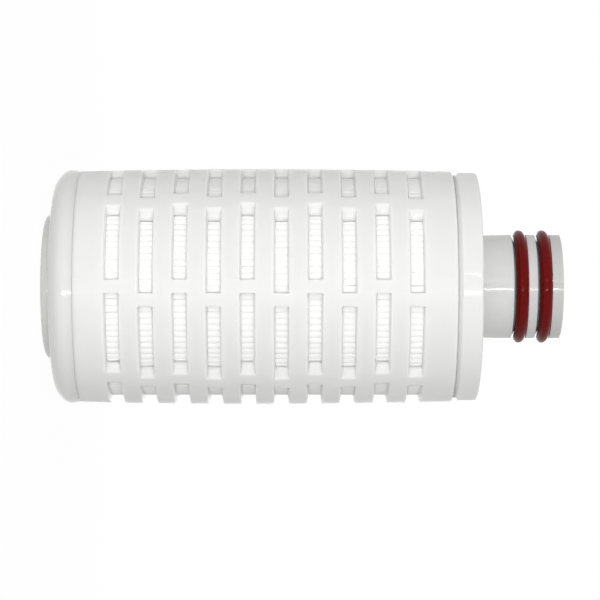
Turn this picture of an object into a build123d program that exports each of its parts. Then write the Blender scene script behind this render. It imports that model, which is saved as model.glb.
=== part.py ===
from build123d import *
from math import cos, radians, sin, tan
import os

# Pleated filter cartridge, millimetres.
# It stands on its closed end: Z runs up its axis, and the origin is the centre of the foot.
# The cage was moulded between two halves that part along X = 0 and draw off along X.

# Outer cage
cage_length = 106.4
cage_radius = 33.8
cage_end_taper = 0.7
cage_wall = 2.8
first_slot_height = 10.9
slot_pitch = 9.35
slot_width = 4.5
slot_draft = 12.0
end_band = 8.5
parting_rib = 3.75
crown_rib = 3.75
side_rib = 3.4
side_rib_angle = 43.8
side_rib_step = 1.3

# Welded seams between the cage and its caps
lower_weld_depth = 0.3
upper_weld_depth = 1.3
weld_sink = 1.5
cage_bevel = 0.3
cap_bevel = 1.15

# Closed end cap
boss_radius = 20.8
boss_height = 3.0
boss_rounding = 2.0
closed_cap_height = 6.9
closed_cap_overhang = 0.5
cap_rim_height = 2.4
cap_rim_rounding = 1.0
cap_slope_width = 5.0
cap_face_rounding = 3.0
cap_wall = 4.2
well_step = 1.5
well_rounding = 1.5

# Pleated media
pleat_count = 106
sheet_thickness = 0.42
pleat_clearance = 0.3

# Inner core
core_radius = 17.5
core_wall = 2.5
core_window_rows = 9
core_windows_per_row = 4
core_window_width = 12.0
core_window_height = 6.0

# Spigot end cap
spigot_cap_height = 6.9
spigot_cap_rounding = 0.9
neck_length = 8.1
neck_relief = 0.2
land_radius = 15.1
first_land = 1.8
middle_land = 2.55
tip_land = 3.15
tip_rounding = 0.3
bore_rounding = 0.8

# Seals and their grooves
groove_depth = 2.35
groove_wall = 2.25
groove_room = 0.57
ring_section = 3.53
ring_clearance = 0.05

# How far a cutting shape runs past what it cuts
overcut = 1.0

# Radii that several pieces share
cage_end_radius = cage_radius - cage_end_taper
cage_bore_radius = cage_radius - cage_wall
lower_seam_radius = cage_end_radius - lower_weld_depth
upper_seam_radius = cage_end_radius - upper_weld_depth
core_bore_radius = core_radius - core_wall
groove_radius = land_radius - groove_depth

# Levels that several pieces share
lower_seam = boss_height + closed_cap_height
upper_seam = lower_seam + cage_length
pack_bottom = lower_seam - weld_sink
pack_top = upper_seam + weld_sink
shoulder_level = upper_seam + spigot_cap_height
groove_width = ring_section + groove_room
first_groove = shoulder_level + neck_length + first_land
second_groove = first_groove + groove_width + middle_land


def turned(profile):
    """Solid turned about Z from corners of (radius, height, rounding)."""
    corners = [(radius, height) for radius, height, rounding in profile]
    roundings = [rounding for radius, height, rounding in profile]
    outline = FilletPolyline(*corners, radius=roundings, close=True)
    section = make_face(Plane.XZ * outline)
    return revolve(section, Axis.Z)


def closed_end_cap():
    """Bevelled cap with its boss, a shallow seat for the pleat pack, and a well that evens the wall."""
    rim_radius = cage_end_radius + closed_cap_overhang
    rim_level = lower_seam - cap_rim_height
    face_radius = rim_radius - cap_slope_width
    well_radius = core_bore_radius - well_step
    return turned(
        [
            (0, 0, 0),
            (boss_radius, 0, boss_rounding),
            (boss_radius, boss_height, 0),
            (face_radius, boss_height, cap_face_rounding),
            (rim_radius, rim_level, cap_rim_rounding),
            (lower_seam_radius, lower_seam, 0),
            (cage_bore_radius, lower_seam, 0),
            (cage_bore_radius, pack_bottom, 0),
            (well_radius, pack_bottom, 0),
            (well_radius, cap_wall, well_rounding),
            (0, cap_wall, 0),
        ]
    )


def cage_tube():
    """Tube that swells a little between its welded ends, with a bevel at each seam."""
    low_edge = lower_seam + cage_bevel
    high_edge = upper_seam - cage_bevel
    middle = (lower_seam + upper_seam) / 2
    outline = [
        Line((cage_bore_radius, upper_seam), (cage_bore_radius, lower_seam)),
        Line((cage_bore_radius, lower_seam), (lower_seam_radius, lower_seam)),
        Line((lower_seam_radius, lower_seam), (cage_end_radius, low_edge)),
        ThreePointArc((cage_end_radius, low_edge), (cage_radius, middle), (cage_end_radius, high_edge)),
        Line((cage_end_radius, high_edge), (upper_seam_radius, upper_seam)),
        Line((upper_seam_radius, upper_seam), (cage_bore_radius, upper_seam)),
    ]
    section = make_face([Plane.XZ * edge for edge in outline])
    return revolve(section, Axis.Z)


def row_ring():
    """Ring that would open a whole row of the cage, widening outwards by the mould's draft."""
    inner = cage_bore_radius - overcut
    outer = cage_radius + overcut
    slope = tan(radians(slot_draft))
    half_inner = slot_width / 2 - (cage_radius - inner) * slope
    half_outer = slot_width / 2 + (outer - cage_radius) * slope
    return turned(
        [
            (inner, -half_inner, 0),
            (outer, -half_outer, 0),
            (outer, half_outer, 0),
            (inner, half_inner, 0),
        ]
    )


def row_rib(x_edges, y_edges):
    """Block that keeps one rib between two windows, as tall as the row, from its edges in any order."""
    length = abs(x_edges[1] - x_edges[0])
    width = abs(y_edges[1] - y_edges[0])
    centre = (sum(x_edges) / 2, sum(y_edges) / 2, 0)
    return Pos(*centre) * Box(length, width, 2 * slot_width)


def row_ribs(side, at_parting):
    """Ribs of one mould half in one row. Their faces run along the draw or square to it.
    In every other row the half has a rib at the parting, and its side ribs sit further round.
    The half on the -X side has one more in every row, in the middle of its crown."""
    outer = side * (cage_radius + 2 * overcut)
    reach = cage_radius * cos(radians(side_rib_angle))
    if at_parting:
        reach -= side_rib_step
    ribs = [row_rib((0, outer), (end * reach, end * (reach - side_rib))) for end in (-1, 1)]
    if at_parting:
        ribs.append(row_rib((0, side * parting_rib), (-outer, outer)))
    if side < 0:
        ribs.append(row_rib((0, outer), (-crown_rib / 2, crown_rib / 2)))
    return ribs


def outer_cage():
    """Cage tube with its rows of windows. The rib at the parting changes sides from row to row."""
    room = cage_length - first_slot_height - slot_width / 2 - end_band
    row_count = 1 + int(room / slot_pitch)
    windows = []
    for row in range(row_count):
        height = lower_seam + first_slot_height + row * slot_pitch
        odd = row % 2 == 1
        cutter = row_ring() - row_ribs(1, odd) - row_ribs(-1, not odd)
        windows.append(Pos(0, 0, height) * cutter)
    return cage_tube() - windows


def beside(radius, angle, offset):
    """Point at a radius along an angle, moved square to that line by an offset."""
    turn = radians(angle)
    x = radius * cos(turn) - offset * sin(turn)
    y = radius * sin(turn) + offset * cos(turn)
    return (x, y)


def pleated_media():
    """One sheet folded to and fro into a ring. Its outer folds are round, and its inner ones lie flat.
    The first pleat is solid: the sheet's two ends are welded together in it."""
    outer_tip = cage_bore_radius - pleat_clearance
    inner_tip = core_radius + pleat_clearance
    half = sheet_thickness / 2
    pitch = 360 / pleat_count
    leg = pitch / 4
    fold_start = outer_tip * (1 - sin(radians(leg))) - half
    gap_end = inner_tip + sheet_thickness
    void_end = outer_tip - sheet_thickness
    weld_end = gap_end + sheet_thickness
    outside = []
    inside = []
    for pleat in range(pleat_count):
        centre = pleat * pitch
        following = centre + pitch
        fold_from = beside(fold_start, centre - leg, -half)
        fold_to = beside(fold_start, centre + leg, half)
        gap_from = beside(gap_end, centre + leg, half)
        gap_to = beside(gap_end, following - leg, -half)
        outside.append(ThreePointArc(fold_from, beside(outer_tip, centre, 0), fold_to))
        outside.append(Line(fold_to, gap_from))
        outside.append(Line(gap_from, gap_to))
        outside.append(Line(gap_to, beside(fold_start, following - leg, -half)))
        void_top = weld_end if pleat == 0 else void_end
        inside.append(beside(inner_tip, centre - leg, half))
        inside.append(beside(void_top, centre - leg, half))
        inside.append(beside(void_top, centre + leg, -half))
        inside.append(beside(inner_tip, centre + leg, -half))
    section = Face(Wire(outside), [Polyline(*inside, close=True)])
    return Pos(0, 0, pack_bottom) * extrude(section, pack_top - pack_bottom)


def inner_core():
    """Support tube with rows of windows, each row turned half a step from the last."""
    length = pack_top - pack_bottom
    row_pitch = length / core_window_rows
    tube = Pos(0, 0, pack_bottom) * extrude(Circle(core_radius) - Circle(core_bore_radius), length)
    window = Box(core_radius, core_window_width, core_window_height)
    windows = []
    for row in range(core_window_rows):
        height = pack_bottom + (row + 0.5) * row_pitch
        for place in range(core_windows_per_row):
            turn = (place + row % 2 / 2) * 360 / core_windows_per_row
            windows.append(Rot(0, 0, turn) * Pos(core_radius, 0, height) * window)
    return tube - windows


def spigot_end_cap():
    """Flat cap with the bored spigot and the two seal grooves, one moulding."""
    bevel_level = upper_seam + cap_bevel
    land_level = shoulder_level + neck_length
    neck_radius = land_radius - neck_relief
    bore_radius = groove_radius - groove_wall
    tip_level = second_groove + groove_width + tip_land
    return turned(
        [
            (bore_radius, pack_top, bore_rounding),
            (cage_bore_radius, pack_top, 0),
            (cage_bore_radius, upper_seam, 0),
            (upper_seam_radius, upper_seam, 0),
            (cage_end_radius, bevel_level, 0),
            (cage_end_radius, shoulder_level, spigot_cap_rounding),
            (neck_radius, shoulder_level, 0),
            (neck_radius, land_level, 0),
            (land_radius, land_level, 0),
            (land_radius, first_groove, 0),
            (groove_radius, first_groove, 0),
            (groove_radius, first_groove + groove_width, 0),
            (land_radius, first_groove + groove_width, 0),
            (land_radius, second_groove, 0),
            (groove_radius, second_groove, 0),
            (groove_radius, second_groove + groove_width, 0),
            (land_radius, second_groove + groove_width, 0),
            (land_radius, tip_level, tip_rounding),
            (bore_radius, tip_level, tip_rounding),
        ]
    )


def o_ring(groove_level):
    """Seal in the groove that starts at a level, pushed up against the groove's far wall."""
    ring_radius = groove_radius + ring_clearance + ring_section / 2
    level = groove_level + groove_width - ring_clearance - ring_section / 2
    return Pos(0, 0, level) * Torus(ring_radius, ring_section / 2)


pieces = {
    "closed_end_cap": closed_end_cap(),
    "outer_cage": outer_cage(),
    "pleated_media": pleated_media(),
    "inner_core": inner_core(),
    "spigot_end_cap": spigot_end_cap(),
    "o_ring_inner": o_ring(first_groove),
    "o_ring_outer": o_ring(second_groove),
}

os.makedirs("parts", exist_ok=True)
for name, piece in pieces.items():
    export_step(piece, f"parts/{name}.step")
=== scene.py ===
from math import acos, asin, cos, pi, radians, sin, tan

import bmesh
import bpy
from mathutils import Matrix, Vector, noise


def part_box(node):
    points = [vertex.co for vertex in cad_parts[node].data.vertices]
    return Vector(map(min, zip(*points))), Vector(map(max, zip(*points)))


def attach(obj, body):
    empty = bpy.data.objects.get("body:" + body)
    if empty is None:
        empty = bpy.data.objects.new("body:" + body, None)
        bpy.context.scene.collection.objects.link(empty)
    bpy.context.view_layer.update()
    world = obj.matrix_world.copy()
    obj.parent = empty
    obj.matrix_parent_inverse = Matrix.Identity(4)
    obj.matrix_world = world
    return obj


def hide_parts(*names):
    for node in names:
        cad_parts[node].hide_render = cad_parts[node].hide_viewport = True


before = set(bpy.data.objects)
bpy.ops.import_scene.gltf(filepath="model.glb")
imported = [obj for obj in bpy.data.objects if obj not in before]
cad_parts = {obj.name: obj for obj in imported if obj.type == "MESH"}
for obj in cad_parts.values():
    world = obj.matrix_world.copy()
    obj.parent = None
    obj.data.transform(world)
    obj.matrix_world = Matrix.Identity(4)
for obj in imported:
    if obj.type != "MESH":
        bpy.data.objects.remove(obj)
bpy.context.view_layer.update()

# Camera.
# It stands square to the axis, rolled so that the cartridge lies along the picture with its closed
# end to the left, and a little round the side, so that the cage's parting line is below the middle.
mm = 0.001
camera_distance = 700 * mm
camera_height = 69.9 * mm
camera_turn = radians(3.2)

camera_data = bpy.data.cameras.new("camera")
camera_data.sensor_width = 36
camera_data.lens = 146.1
camera_data.shift_x = 0.0167
camera_data.shift_y = -0.0225
camera = bpy.data.objects.new("camera", camera_data)
bpy.context.collection.objects.link(camera)
towards_camera = Vector((-sin(camera_turn), -cos(camera_turn), 0))
picture_right = Vector((0, 0, 1))
picture_up = towards_camera.cross(picture_right)
camera_place = towards_camera * camera_distance + picture_right * camera_height
camera_axes = Matrix((picture_right, picture_up, towards_camera)).transposed()
camera.matrix_world = Matrix.Translation(camera_place) @ camera_axes.to_4x4()
bpy.context.scene.camera = camera
bpy.context.scene.view_settings.view_transform = "Standard"


# Floor and light.
# A white table top in a white room, with a wide soft box on the camera's side, a fainter one behind,
# and two slim lamps whose reflections draw the thin bright lines along the neck.
floor_radius = 0.6
floor_white = "F4F4F3"
room_light = 0.4
table_glow = 0.97
shadow_radius = 0.06


def colour(code):
    """Linear colour with alpha from an sRGB hex code."""
    channels = [int(code[at:at + 2], 16) / 255 for at in (0, 2, 4)]
    return [c / 12.92 if c <= 0.04045 else ((c + 0.055) / 1.055) ** 2.4 for c in channels] + [1]


def add_node(tree, kind, values=None, **settings):
    """Adds a node to a tree with its settings. A value goes onto its socket, an output is linked to it."""
    node = tree.nodes.new(kind)
    for name, setting in settings.items():
        setattr(node, name, setting)
    for name, value in (values or {}).items():
        if isinstance(value, bpy.types.NodeSocket):
            tree.links.new(value, node.inputs[name])
        else:
            node.inputs[name].default_value = value
    return node


def seen_directly(tree):
    """Output that is 1 for camera, glossy and transmission rays, and 0 for the light that falls on things."""
    path = add_node(tree, "ShaderNodeLightPath").outputs
    rays = {0: path["Is Camera Ray"], 1: path["Is Glossy Ray"]}
    either = add_node(tree, "ShaderNodeMath", rays, operation="MAXIMUM")
    rays = {0: either.outputs[0], 1: path["Is Transmission Ray"]}
    return add_node(tree, "ShaderNodeMath", rays, operation="MAXIMUM").outputs[0]


world = bpy.data.worlds.new("white_room")
bpy.context.scene.world = world
world.use_nodes = True
tree = world.node_tree
tree.nodes.clear()
dimming = {"Value": seen_directly(tree), "To Min": room_light, "To Max": 1.0}
strength = add_node(tree, "ShaderNodeMapRange", dimming).outputs[0]
background = add_node(tree, "ShaderNodeBackground", {"Color": (1, 1, 1, 1), "Strength": strength})
add_node(tree, "ShaderNodeOutputWorld", {"Surface": background.outputs[0]})

floor_mesh = bpy.data.meshes.new("table_top")
floor_form = bmesh.new()
bmesh.ops.create_circle(floor_form, cap_ends=True, radius=floor_radius, segments=96)
floor_form.to_mesh(floor_mesh)
floor_form.free()
floor = bpy.data.objects.new("table_top", floor_mesh)
bpy.context.collection.objects.link(floor)
# Diffuse rays pass the table, so the foot gets as much of the room's light from below as from the sides.
floor.visible_diffuse = False
floor.visible_shadow = False

# Matt white lacquer. It keeps the shadow round the foot and fades to plain white further out.
table_white = bpy.data.materials.new("white_table")
table_white.use_nodes = True
tree = table_white.node_tree
tree.nodes.clear()
matt = add_node(tree, "ShaderNodeBsdfDiffuse", {"Color": colour(floor_white)})
glow = add_node(tree, "ShaderNodeEmission", {"Color": (1, 1, 1, 1)})
place = add_node(tree, "ShaderNodeTexCoord").outputs["Object"]
from_middle = add_node(tree, "ShaderNodeVectorMath", {0: place}, operation="LENGTH").outputs["Value"]
whitening = add_node(
    tree,
    "ShaderNodeMapRange",
    {"Value": from_middle, "From Min": shadow_radius, "From Max": floor_radius / 2, "To Min": table_glow},
    interpolation_type="SMOOTHSTEP",
).outputs[0]
share = add_node(tree, "ShaderNodeMath", {0: seen_directly(tree), 1: whitening}, operation="MULTIPLY")
both = add_node(tree, "ShaderNodeMixShader", {0: share.outputs[0], 1: matt.outputs[0], 2: glow.outputs[0]})
add_node(tree, "ShaderNodeOutputMaterial", {"Surface": both.outputs[0]})
floor_mesh.materials.append(table_white)


def soft_lamp(name, turn, distance, height, wide, tall, power):
    """Rectangular lamp at an angle round the object from the camera, turned towards its middle."""
    data = bpy.data.lights.new(name, "AREA")
    data.shape = "RECTANGLE"
    data.size = wide
    data.size_y = tall
    data.energy = power
    lamp = bpy.data.objects.new(name, data)
    bpy.context.collection.objects.link(lamp)
    angle = camera_turn + turn
    lamp.location = (-sin(angle) * distance, -cos(angle) * distance, height)
    lamp.visible_camera = False
    aim = lamp.location - Vector((0, 0, camera_height))
    lamp.rotation_euler = aim.to_track_quat("Z", "Y").to_euler()
    return lamp


front_box = soft_lamp("front_box", turn=radians(10), distance=1.25, height=0.07, wide=4.0, tall=4.0, power=38)
front_box.visible_glossy = False
soft_lamp("back_box", turn=pi, distance=1.25, height=0.25, wide=0.9, tall=0.9, power=4)
soft_lamp("neck_lamp", turn=radians(-5.9), distance=1.0, height=0.12, wide=0.016, tall=0.9, power=2.5)
soft_lamp("side_lamp", turn=radians(12), distance=1.0, height=0.12, wide=0.012, tall=0.9, power=0.5)


# Closed end cap.
# One moulding in natural polypropylene: a bevelled disc with a raised round boss, welded to the cage.
# Its plastic is painted greyer than the cage, and greyer towards the axis: painted shade where no white
# pleats lie behind it.
boss_radius = 20.8
boss_height = 3.0
boss_rounding = 2.0
cap_overhang = 0.8
cap_slope_width = 3.9
cap_face_rounding = 5.0
cap_rim_height = 3.4
cap_rim_rounding = 4.0
cap_wall = 4.2
lower_weld_depth = 0.12
weld_sink = 1.5
weld_melt = 0.1
well_radius = 13.5
well_rounding = 1.5
fine_edge = 0.15
weld_edge = fine_edge / 4
lathe_turns = 240
polypropylene_ior = 1.49
bleed_length = 2.4
cloud_size = 9.0
cloud_strength = 0.12
gloss_size = 6.0
gloss_spread = 0.2
peel_size = 0.9
peel_depth = 0.02


def box_mm(node):
    """Lowest and highest corner of a CAD node in millimetres."""
    return [Vector(corner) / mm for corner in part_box(node)]


def rounded(corners, arc_steps=5):
    """Outline points from corners of (radius, height, rounding), each rounding a short curve."""
    points = []
    for number, (radius, height, rounding) in enumerate(corners):
        corner = Vector((radius, height))
        if rounding == 0:
            points.append(corner)
            continue
        back = Vector(corners[number - 1][:2]) - corner
        ahead = Vector(corners[(number + 1) % len(corners)][:2]) - corner
        reach = rounding / tan(back.angle(ahead) / 2)
        start = corner + back.normalized() * reach
        end = corner + ahead.normalized() * reach
        for step in range(arc_steps + 1):
            t = step / arc_steps
            points.append(start * (1 - t) ** 2 + corner * 2 * t * (1 - t) + end * t ** 2)
    return points


def make_object(name, vertices, faces, material):
    """Smooth-shaded object from vertices in millimetres, riding on the part's one body."""
    mesh = bpy.data.meshes.new(name)
    mesh.from_pydata([Vector(vertex) * mm for vertex in vertices], [], faces)
    mesh.validate()
    mesh.shade_smooth()
    mesh.materials.append(material)
    piece = bpy.data.objects.new(name, mesh)
    bpy.context.collection.objects.link(piece)
    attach(piece, "root")
    return piece


def turned(name, corners, material):
    """Piece turned about the axis from a closed outline of corners."""
    outline = rounded(corners)
    vertices = []
    rings = []
    for radius, height in outline:
        first = len(vertices)
        if radius == 0:
            vertices.append((0, 0, height))
            rings.append([first] * lathe_turns)
            continue
        for step in range(lathe_turns):
            angle = 2 * pi * step / lathe_turns
            vertices.append((radius * cos(angle), radius * sin(angle), height))
        rings.append(list(range(first, first + lathe_turns)))
    faces = []
    for number, ring in enumerate(rings):
        following = rings[(number + 1) % len(rings)]
        for step in range(lathe_turns):
            around = (step + 1) % lathe_turns
            corners_used = [ring[step], ring[around], following[around], following[step]]
            face = list(dict.fromkeys(corners_used))
            if len(face) > 2:
                faces.append(face)
    piece = make_object(name, vertices, faces, material)
    piece.modifiers.new("even_normals", "WEIGHTED_NORMAL")
    return piece


def polypropylene_with_painted_shading(
    name, painted_shading_from, painted_shading_to, shading_from_place, shading_to_place, roughness, specular, bleed, upwards=False
):
    """Milky moulded plastic with painted shading. Its colour runs from one tone to another, in mm from the
    axis
    or upwards: painted shade where less white lies behind it, painted light where more does. Moulding leaves
    faint clouds, uneven gloss and orange peel."""
    material = bpy.data.materials.new(name)
    material.use_nodes = True
    tree = material.node_tree
    tree.nodes.clear()
    place = add_node(tree, "ShaderNodeTexCoord").outputs["Object"]
    parts = add_node(tree, "ShaderNodeSeparateXYZ", {0: place})
    flat = add_node(tree, "ShaderNodeCombineXYZ", {"X": parts.outputs["X"], "Y": parts.outputs["Y"]})
    radius = add_node(tree, "ShaderNodeVectorMath", {0: flat.outputs[0]}, operation="LENGTH").outputs["Value"]
    along = parts.outputs["Z"] if upwards else radius
    # Painted shading: the colour blends from one tone to the other across this span of radius or height.
    painted_shading_span = {"Value": along, "From Min": shading_from_place * mm, "From Max": shading_to_place * mm}
    depth = add_node(tree, "ShaderNodeMapRange", painted_shading_span).outputs[0]
    patches = {"Vector": place, "Scale": 1 / (cloud_size * mm), "Detail": 3, "Roughness": 0.5}
    cloud = add_node(tree, "ShaderNodeTexNoise", patches).outputs[0]
    either_way = {"Value": cloud, "To Min": -cloud_strength, "To Max": cloud_strength}
    clouded = add_node(tree, "ShaderNodeMapRange", either_way).outputs[0]
    # The painted shading, with random clouds of tone added on top.
    painted_shade_and_clouds = add_node(tree, "ShaderNodeMath", {0: depth, 1: clouded}, operation="ADD", use_clamp=True)
    shades = {"Factor": painted_shade_and_clouds.outputs[0], "A": colour(painted_shading_from), "B": colour(painted_shading_to)}
    paint = add_node(tree, "ShaderNodeMix", shades, data_type="RGBA")
    pits = {"Vector": place, "Scale": 1 / (peel_size * mm), "Detail": 2}
    peel = add_node(tree, "ShaderNodeTexNoise", pits).outputs[0]
    waves = {"Vector": place, "Scale": 1 / (gloss_size * mm), "Detail": 1}
    wave = add_node(tree, "ShaderNodeTexNoise", waves).outputs[0]
    mixed = add_node(tree, "ShaderNodeMath", {0: wave, 1: 4.0, 2: peel}, operation="MULTIPLY_ADD").outputs[0]
    relief = {"Height": mixed, "Strength": 0.18, "Distance": peel_depth * mm}
    bump = add_node(tree, "ShaderNodeBump", relief)
    least = roughness * (1 - gloss_spread)
    most = roughness * (1 + gloss_spread)
    gloss = add_node(tree, "ShaderNodeMapRange", {"Value": wave, "To Min": least, "To Max": most}).outputs[0]
    plastic = add_node(
        tree,
        "ShaderNodeBsdfPrincipled",
        {
            "Base Color": paint.outputs[2],
            "Roughness": gloss,
            "Normal": bump.outputs[0],
            "IOR": polypropylene_ior,
            "Specular IOR Level": specular,
            "Subsurface Weight": bleed,
            "Subsurface Radius": (1.0, 1.0, 1.0),
            "Subsurface Scale": bleed_length * mm,
        },
    )
    add_node(tree, "ShaderNodeOutputMaterial", {"Surface": plastic.outputs[0]})
    return material


cap_bottom = box_mm("closed_end_cap")[0].z
cage_low, cage_high = box_mm("outer_cage")
lower_seam = cage_low.z
upper_seam = cage_high.z
spigot_high = box_mm("spigot_end_cap")[1]
cage_end_radius = spigot_high.x
rim_radius = cage_end_radius + cap_overhang
cage_bore_radius = 31.0
pack_bottom = lower_seam - weld_sink
pack_top = upper_seam + weld_sink

# Painted shade: the cap darkens from 31 mm out in to 19 mm from the axis.
cap_plastic = polypropylene_with_painted_shading(
    "moulded_cap_polypropylene_painted_shade", "CFCFCD", "D6D6D5", 19, 31, roughness=0.12, specular=0.4, bleed=0.4
)
closed_cap = turned(
    "bevelled_cap",
    [
        (0, cap_bottom, 0),
        (boss_radius, cap_bottom, boss_rounding),
        (boss_radius, boss_height, 2 * fine_edge),
        (rim_radius - cap_slope_width, boss_height, cap_face_rounding),
        (rim_radius, lower_seam - cap_rim_height, cap_rim_rounding),
        (cage_end_radius - lower_weld_depth, lower_seam + weld_melt, weld_edge),
        (cage_bore_radius, lower_seam + weld_melt, weld_edge),
        (cage_bore_radius, pack_bottom, fine_edge),
        (well_radius, pack_bottom, fine_edge),
        (well_radius, cap_wall, well_rounding),
        (0, cap_wall, 0),
    ],
    cap_plastic,
)
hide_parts("closed_end_cap")


# Inner core.
# A moulded support tube with staggered windows in natural polypropylene. The pleats rest on it,
# and only the drain bore and the gaps between the pleats let it be seen.
# Painted shade: the core is greyer towards its bore, from 18 mm out in to 15 mm.
core_plastic = polypropylene_with_painted_shading(
    "windowed_core_polypropylene_painted_shade", "E4E5E5", "EEEFEF", 15, 18, roughness=0.4, specular=0.5, bleed=0.3
)
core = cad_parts["inner_core"]
core.data.materials.clear()
core.data.materials.append(core_plastic)


# Pleated media.
# One folded sheet of membrane between white non-woven layers, its outer folds pressed almost together.
# The pleats lean and wander a little between the bands of the cage, as hand-gathered ones do.
pleat_count = 106
sheet_thickness = 0.42
core_clearance = 0.3
pleat_press = 0.1
fold_gap = 0.03
fold_depth = 0.22
lean = 0.34
lean_length = 9.0
pleat_own_lean = 0.09
own_lean_pace = 1.6
tip_wander = 0.08
level_step = 2.5
nonwoven_white = "F3F3F2"
nonwoven_shade = "EDEDEB"
mottle_size = 2.2
fibre_spacing = 0.3
fibre_depth = 0.05

# Steps through the noise from pleat to pleat, long enough that neighbours don't move alike
own_lean_stride = 7.3
own_lean_seed = 5.1
wander_stride = 3.7
wander_seed = 9.4


def pleat_section(outer_radius, inner_radius):
    """Outer and inner skin of one pleat as (radius, sideways offset), both with the same number of points."""
    half_pitch = pi * outer_radius / pleat_count
    fold = half_pitch - fold_gap / 2
    foot = pi * inner_radius / pleat_count / 2 + sheet_thickness / 2
    inside = fold - sheet_thickness
    shares = (-1, -0.88, -0.55, -0.2, 0.2, 0.55, 0.88, 1)
    outer = [(outer_radius - fold_depth * share ** 2, fold * share) for share in shares]
    inner = [(radius - sheet_thickness, inside * share) for (radius, _), share in zip(outer, shares)]
    outer = [(inner_radius + sheet_thickness, -foot)] + outer + [(inner_radius + sheet_thickness, foot)]
    inner_foot = foot - sheet_thickness
    inner = [(inner_radius, -inner_foot)] + inner + [(inner_radius, inner_foot)]
    return outer, inner


def folded_sheet(outer_radius, inner_radius, bottom, top):
    """Vertices and faces of the folded ring, with the lean of each pleat at each level."""
    skins = pleat_section(outer_radius, inner_radius)
    points_each = len(skins[0])
    round_count = points_each * pleat_count
    level_count = int((top - bottom) / level_step) + 1
    vertices = []
    for level in range(level_count):
        height = bottom + (top - bottom) * level / (level_count - 1)
        shifts = []
        for pleat in range(pleat_count):
            angle = 2 * pi * pleat / pleat_count
            around = Vector((cos(angle), sin(angle), 0)) * outer_radius
            shared = noise.noise((around + Vector((0, 0, height))) / lean_length)
            pace = height / lean_length
            own = noise.noise(Vector((pleat * own_lean_stride, pace * own_lean_pace, own_lean_seed)))
            sink = abs(noise.noise(Vector((pleat * wander_stride, pace, wander_seed))))
            shifts.append((shared * lean + own * pleat_own_lean, sink * tip_wander))
        for skin in skins:
            for pleat in range(pleat_count):
                angle = 2 * pi * pleat / pleat_count
                shift, sink = shifts[pleat]
                for radius, offset in skin:
                    share = (radius - inner_radius) / (outer_radius - inner_radius)
                    turn = angle + (offset + shift * share) / radius
                    reach = radius - sink * share
                    vertices.append((reach * cos(turn), reach * sin(turn), height))
    faces = []
    per_level = 2 * round_count
    for level in range(level_count - 1):
        base = level * per_level
        for at in range(round_count):
            following = (at + 1) % round_count
            faces.append((base + at, base + following, base + per_level + following, base + per_level + at))
            inside = base + round_count
            faces.append(
                (inside + following, inside + at, inside + per_level + at, inside + per_level + following)
            )
    last = (level_count - 1) * per_level
    for at in range(round_count):
        following = (at + 1) % round_count
        faces.append((following, at, round_count + at, round_count + following))
        faces.append((last + at, last + following, last + round_count + following, last + round_count + at))
    return vertices, faces


def white_nonwoven():
    """Spun-bonded white sheet: matt and almost white, with a soft sheen, fine fibres and faint mottling.
    The fibres are drawn about 0.3 mm apart, coarser than real ones, so that they show at all."""
    material = bpy.data.materials.new("white_nonwoven_sheet")
    material.use_nodes = True
    tree = material.node_tree
    tree.nodes.clear()
    place = add_node(tree, "ShaderNodeTexCoord").outputs["Object"]
    patches = {"Vector": place, "Scale": 1 / (mottle_size * mm), "Detail": 4}
    mottle = add_node(tree, "ShaderNodeTexNoise", patches).outputs[0]
    threads = {"Vector": place, "Scale": 1 / (fibre_spacing * mm), "Detail": 5, "Distortion": 1.5}
    fibres = add_node(tree, "ShaderNodeTexNoise", threads).outputs[0]
    shades = {"Factor": mottle, "A": colour(nonwoven_white), "B": colour(nonwoven_shade)}
    paint = add_node(tree, "ShaderNodeMix", shades, data_type="RGBA")
    relief = {"Height": fibres, "Strength": 0.35, "Distance": fibre_depth * mm}
    bump = add_node(tree, "ShaderNodeBump", relief)
    rough = add_node(tree, "ShaderNodeMapRange", {"Value": fibres, "To Min": 0.72, "To Max": 0.95}).outputs[0]
    sheet = add_node(
        tree,
        "ShaderNodeBsdfPrincipled",
        {
            "Base Color": paint.outputs[2],
            "Roughness": rough,
            "Normal": bump.outputs[0],
            "IOR": polypropylene_ior,
            "Specular IOR Level": 0.25,
            "Sheen Weight": 0.08,
            "Subsurface Weight": 0.3,
            "Subsurface Radius": (1.0, 1.0, 1.0),
            "Subsurface Scale": 0.4 * mm,
        },
    )
    add_node(tree, "ShaderNodeOutputMaterial", {"Surface": sheet.outputs[0]})
    return material


pack_low, pack_high = box_mm("pleated_media")
core_radius = box_mm("inner_core")[1].x
pleats = make_object(
    "folded_media",
    *folded_sheet(cage_bore_radius + pleat_press, core_radius + core_clearance, pack_low.z, pack_high.z),
    white_nonwoven(),
)
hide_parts("pleated_media")


# Outer cage.
# One tube in natural polypropylene, moulded between two slides, so the window edges run along the draw
# and a fine parting line runs down each side. It swells a little between its welded ends.
cage_end_taper = 0.7
upper_weld_depth = 1.3
first_slot_height = 10.9
slot_pitch = 9.35
slot_rows = 10
slot_width = 4.3
slot_draft = radians(10)
parting_rib = 3.75
crown_rib = 3.75
side_rib = 3.4
side_rib_reach = 24.4
side_rib_step = 1.3
cage_bevel = 0.3
bevel_support = 0.25
end_band_level = 2.2
last_level = 4.6
edge_support = 0.35
crown_steps = 6
ring_step = radians(5.5)
parting_ridge = 0.05
cage_radius = cage_high.x - parting_ridge


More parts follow.
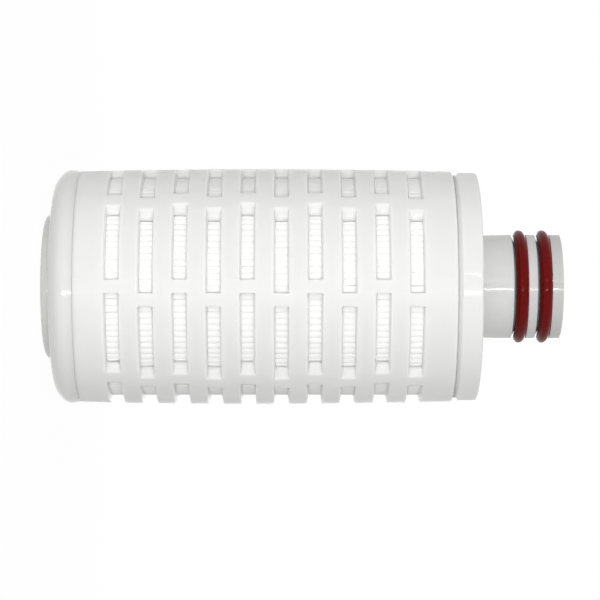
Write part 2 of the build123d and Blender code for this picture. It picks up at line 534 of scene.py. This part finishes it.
def quarter_lines():
    """Grid lines of a quarter turn from the draw to the parting. Each keeps a y, an x or an angle."""
    narrow = side_rib_reach - side_rib_step
    edges = sorted([side_rib_reach, side_rib_reach - side_rib, narrow, narrow - side_rib])
    supported = [edge + side * edge_support for edge in edges for side in (-1, 0, 1)]
    lines = [("angle", 0)]
    lines += [("y", crown_rib / 2 + side * edge_support) for side in (-1, 0, 1)]
    first = asin((crown_rib / 2 + edge_support) / cage_radius)
    last = asin(supported[0] / cage_radius)
    lines += [("angle", first + (last - first) * step / crown_steps) for step in range(1, crown_steps)]
    lines += [("y", value) for value in sorted(supported)]
    first = asin(supported[-1] / cage_radius)
    last = acos((parting_rib + edge_support) / cage_radius)
    steps = round((last - first) / ring_step)
    lines += [("angle", first + (last - first) * step / steps) for step in range(1, steps)]
    lines += [("x", parting_rib + side * edge_support) for side in (1, 0, -1)]
    lines += [("x", parting_rib / 2), ("x", edge_support), ("x", 0)]
    return lines


def line_angle(quarter, kind, value, radius):
    """Angle of a grid line where it meets a radius, in one of the four quarters."""
    angle = value
    if kind == "y":
        angle = asin(value / radius)
    if kind == "x":
        angle = acos(value / radius)
    return (angle, pi - angle, pi + angle, 2 * pi - angle)[quarter]


def cage_outer_radius(height):
    """Radius of the swelling tube, with the bevel that makes half of each seam's groove."""
    middle = (lower_seam + upper_seam) / 2
    half_length = (upper_seam - lower_seam) / 2
    from_end = half_length - abs(height - middle)
    along = abs(height - middle) / (half_length - cage_bevel)
    radius = cage_radius - cage_end_taper * min(along, 1) ** 2
    if from_end < cage_bevel:
        depth = upper_weld_depth if height > middle else lower_weld_depth
        radius -= depth * (1 - from_end / cage_bevel)
    return radius


def cage_levels():
    """Grid levels as (outer height, inner height, row that the cells above belong to, or None)."""
    half_outer = slot_width / 2
    half_inner = half_outer - (cage_radius - cage_bore_radius) * tan(slot_draft)
    ends = [0, cage_bevel / 2, cage_bevel, cage_bevel + bevel_support, end_band_level]
    levels = [(lower_seam + end, lower_seam + end, None) for end in ends]
    levels.append((lower_seam + first_slot_height / 2, lower_seam + first_slot_height / 2, None))
    for row in range(slot_rows):
        middle = lower_seam + first_slot_height + row * slot_pitch
        for side in (-1, 1):
            for step in (-1, 0, 1):
                offset = step * edge_support
                inside_row = (side == -1 and step >= 0) or (side == 1 and step == -1)
                levels.append(
                    (
                        middle + side * half_outer + offset,
                        middle + side * half_inner + offset,
                        row if inside_row else None,
                    )
                )
        if row < slot_rows - 1:
            levels.append((middle + slot_pitch / 2, middle + slot_pitch / 2, None))
    levels.append((upper_seam - last_level, upper_seam - last_level, None))
    levels += [(upper_seam - end, upper_seam - end, None) for end in reversed(ends)]
    return levels


def is_open(angle, row):
    """Whether a place in a row of the cage is a window. The rib at the parting changes sides each row,
    and the side away from +X has one more rib, in the middle of its crown."""
    x = cage_radius * cos(angle)
    y = cage_radius * sin(angle)
    at_parting = (row % 2 == 1) == (x > 0)
    reach = side_rib_reach - (side_rib_step if at_parting else 0)
    in_front = abs(y) < reach - side_rib and (x > 0 or abs(y) > crown_rib / 2)
    at_side = abs(y) > reach and abs(x) > (parting_rib if at_parting else 0)
    return in_front or at_side


def cage_form():
    """Vertices and faces of the cage: an outer and an inner skin on one grid, and walls round each window."""
    lines = quarter_lines()
    ring = []
    for quarter in range(4):
        ordered = lines if quarter % 2 == 0 else lines[::-1]
        ring += [(quarter, kind, value) for kind, value in ordered[:-1]]
    levels = cage_levels()
    middles = []
    for at, line in enumerate(ring):
        here = line_angle(*line, cage_radius)
        following = line_angle(*ring[(at + 1) % len(ring)], cage_radius)
        middles.append((here + (following if following > here else following + 2 * pi)) / 2)
    wall_shares = (0, 0.14, 0.96, 1)
    vertices = []
    index = {}

    def vertex(share, at, level):
        """Number of the vertex on a grid line and level, at a share of the way through the wall."""
        key = (share, at % len(ring), level)
        if key not in index:
            outer_height, inner_height, row = levels[level]
            skin = cage_outer_radius(outer_height)
            if ring[key[1]][1:] == ("x", 0):
                skin += parting_ridge
            radius = skin + (cage_bore_radius - skin) * share
            angle = line_angle(*ring[key[1]], radius)
            height = outer_height + (inner_height - outer_height) * share
            index[key] = len(vertices)
            vertices.append((radius * cos(angle), radius * sin(angle), height))
        return index[key]

    def solid(at, level):
        """Whether the cell above a level and after a grid line is plastic."""
        if level < 0 or level >= len(levels) - 1:
            return False
        row = levels[level][2]
        return row is None or not is_open(middles[at % len(ring)], row)

    faces = []
    for level in range(len(levels) - 1):
        for at in range(len(ring)):
            if not solid(at, level):
                continue
            corners = [(at, level), (at + 1, level), (at + 1, level + 1), (at, level + 1)]
            faces.append([vertex(0, *corner) for corner in corners])
            faces.append([vertex(1, *corner) for corner in reversed(corners)])
            beside = [(at, level - 1), (at + 1, level), (at, level + 1), (at - 1, level)]
            for side, neighbour in enumerate(beside):
                if solid(*neighbour):
                    continue
                first = corners[side]
                second = corners[(side + 1) % 4]
                for outer, inner in zip(wall_shares, wall_shares[1:]):
                    edge = [(outer, second), (outer, first), (inner, first), (inner, second)]
                    faces.append([vertex(share, *corner) for share, corner in edge])
    return vertices, faces


# Painted light: the window walls grow paler towards the bore, as if lit by the white pleats behind them.
cage_plastic = polypropylene_with_painted_shading(
    "moulded_cage_polypropylene_painted_light", "F7F7F6", "DFDFDE", 31.1, 32.6, roughness=0.36, specular=0.35, bleed=0.9
)
cage = make_object("windowed_cage", *cage_form(), cage_plastic)
soften = cage.modifiers.new("moulded_edges", "SUBSURF")
soften.levels = 1
soften.render_levels = 1
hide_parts("outer_cage")


# Spigot end cap.
# Flat disc and bored spigot in one moulding of natural polypropylene, with two grooves for the seals.
# The spigot is thick and hollow. Its plastic is painted the greyest of the white parts and darkens towards
# the tip: painted shade.
spigot_cap_height = 6.9
spigot_cap_rounding = 0.9
cap_bevel = 1.15
neck_length = 9.9
neck_taper = 0.2
land_radius = 15.1
middle_land = 2.55
groove_depth = 2.35
groove_width = 4.1
bore_radius = 10.5
bore_rounding = 0.8
tip_rounding = 0.3
shoulder_level = upper_seam + spigot_cap_height
neck_radius = land_radius - neck_taper
groove_radius = land_radius - groove_depth
first_groove = shoulder_level + neck_length
second_groove = first_groove + groove_width + middle_land
tip_level = spigot_high.z


def groove(level):
    """Corners of one seal groove, from its lower lip to its upper one."""
    return [
        (land_radius, level, fine_edge),
        (groove_radius, level, fine_edge),
        (groove_radius, level + groove_width, fine_edge),
        (land_radius, level + groove_width, fine_edge),
    ]


# Painted shade: the spigot darkens from the shoulder up towards the tip.
spigot_plastic = polypropylene_with_painted_shading(
    "moulded_spigot_polypropylene_painted_shade",
    "BABAB8",
    "DDDDDC",
    tip_level,
    shoulder_level,
    roughness=0.12,
    specular=0.4,
    bleed=0.4,
    upwards=True,
)
spigot = turned(
    "spigot_cap",
    [
        (bore_radius, pack_top, bore_rounding),
        (cage_bore_radius, pack_top, fine_edge),
        (cage_bore_radius, upper_seam, fine_edge),
        (cage_end_radius - upper_weld_depth, upper_seam, fine_edge),
        (cage_end_radius, upper_seam + cap_bevel, 2 * fine_edge),
        (cage_end_radius, shoulder_level, spigot_cap_rounding),
        (neck_radius, shoulder_level, 2 * fine_edge),
        *groove(first_groove),
        *groove(second_groove),
        (land_radius, tip_level, tip_rounding),
        (bore_radius, tip_level, tip_rounding),
    ],
    spigot_plastic,
)
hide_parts("spigot_end_cap")


# O-rings.
# Two dark red silicone rubber rings, moulded and deflashed, stretched into the grooves of the spigot.
# The rubber is smooth, softly glossy and a little mottled.
ring_red = "6A0402"
ring_red_deep = "520301"
ring_mottle_size = 1.6
ring_grain_size = 0.35
ring_grain_depth = 0.02
silicone_ior = 1.41

silicone = bpy.data.materials.new("moulded_red_silicone")
silicone.use_nodes = True
tree = silicone.node_tree
tree.nodes.clear()
place = add_node(tree, "ShaderNodeTexCoord").outputs["Object"]
patches = {"Vector": place, "Scale": 1 / (ring_mottle_size * mm), "Detail": 4}
mottle = add_node(tree, "ShaderNodeTexNoise", patches).outputs[0]
shades = {"Factor": mottle, "A": colour(ring_red_deep), "B": colour(ring_red)}
paint = add_node(tree, "ShaderNodeMix", shades, data_type="RGBA")
grains = {"Vector": place, "Scale": 1 / (ring_grain_size * mm), "Detail": 3}
grain = add_node(tree, "ShaderNodeTexNoise", grains).outputs[0]
relief = {"Height": grain, "Strength": 0.15, "Distance": ring_grain_depth * mm}
bump = add_node(tree, "ShaderNodeBump", relief)
gloss = add_node(tree, "ShaderNodeMapRange", {"Value": mottle, "To Min": 0.08, "To Max": 0.15}).outputs[0]
rubber = add_node(
    tree,
    "ShaderNodeBsdfPrincipled",
    {
        "Base Color": paint.outputs[2],
        "Roughness": gloss,
        "Normal": bump.outputs[0],
        "IOR": silicone_ior,
        "Specular IOR Level": 0.14,
    },
)
add_node(tree, "ShaderNodeOutputMaterial", {"Surface": rubber.outputs[0]})
for name in ("o_ring_inner", "o_ring_outer"):
    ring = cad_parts[name]
    ring.data.materials.clear()
    ring.data.materials.append(silicone)
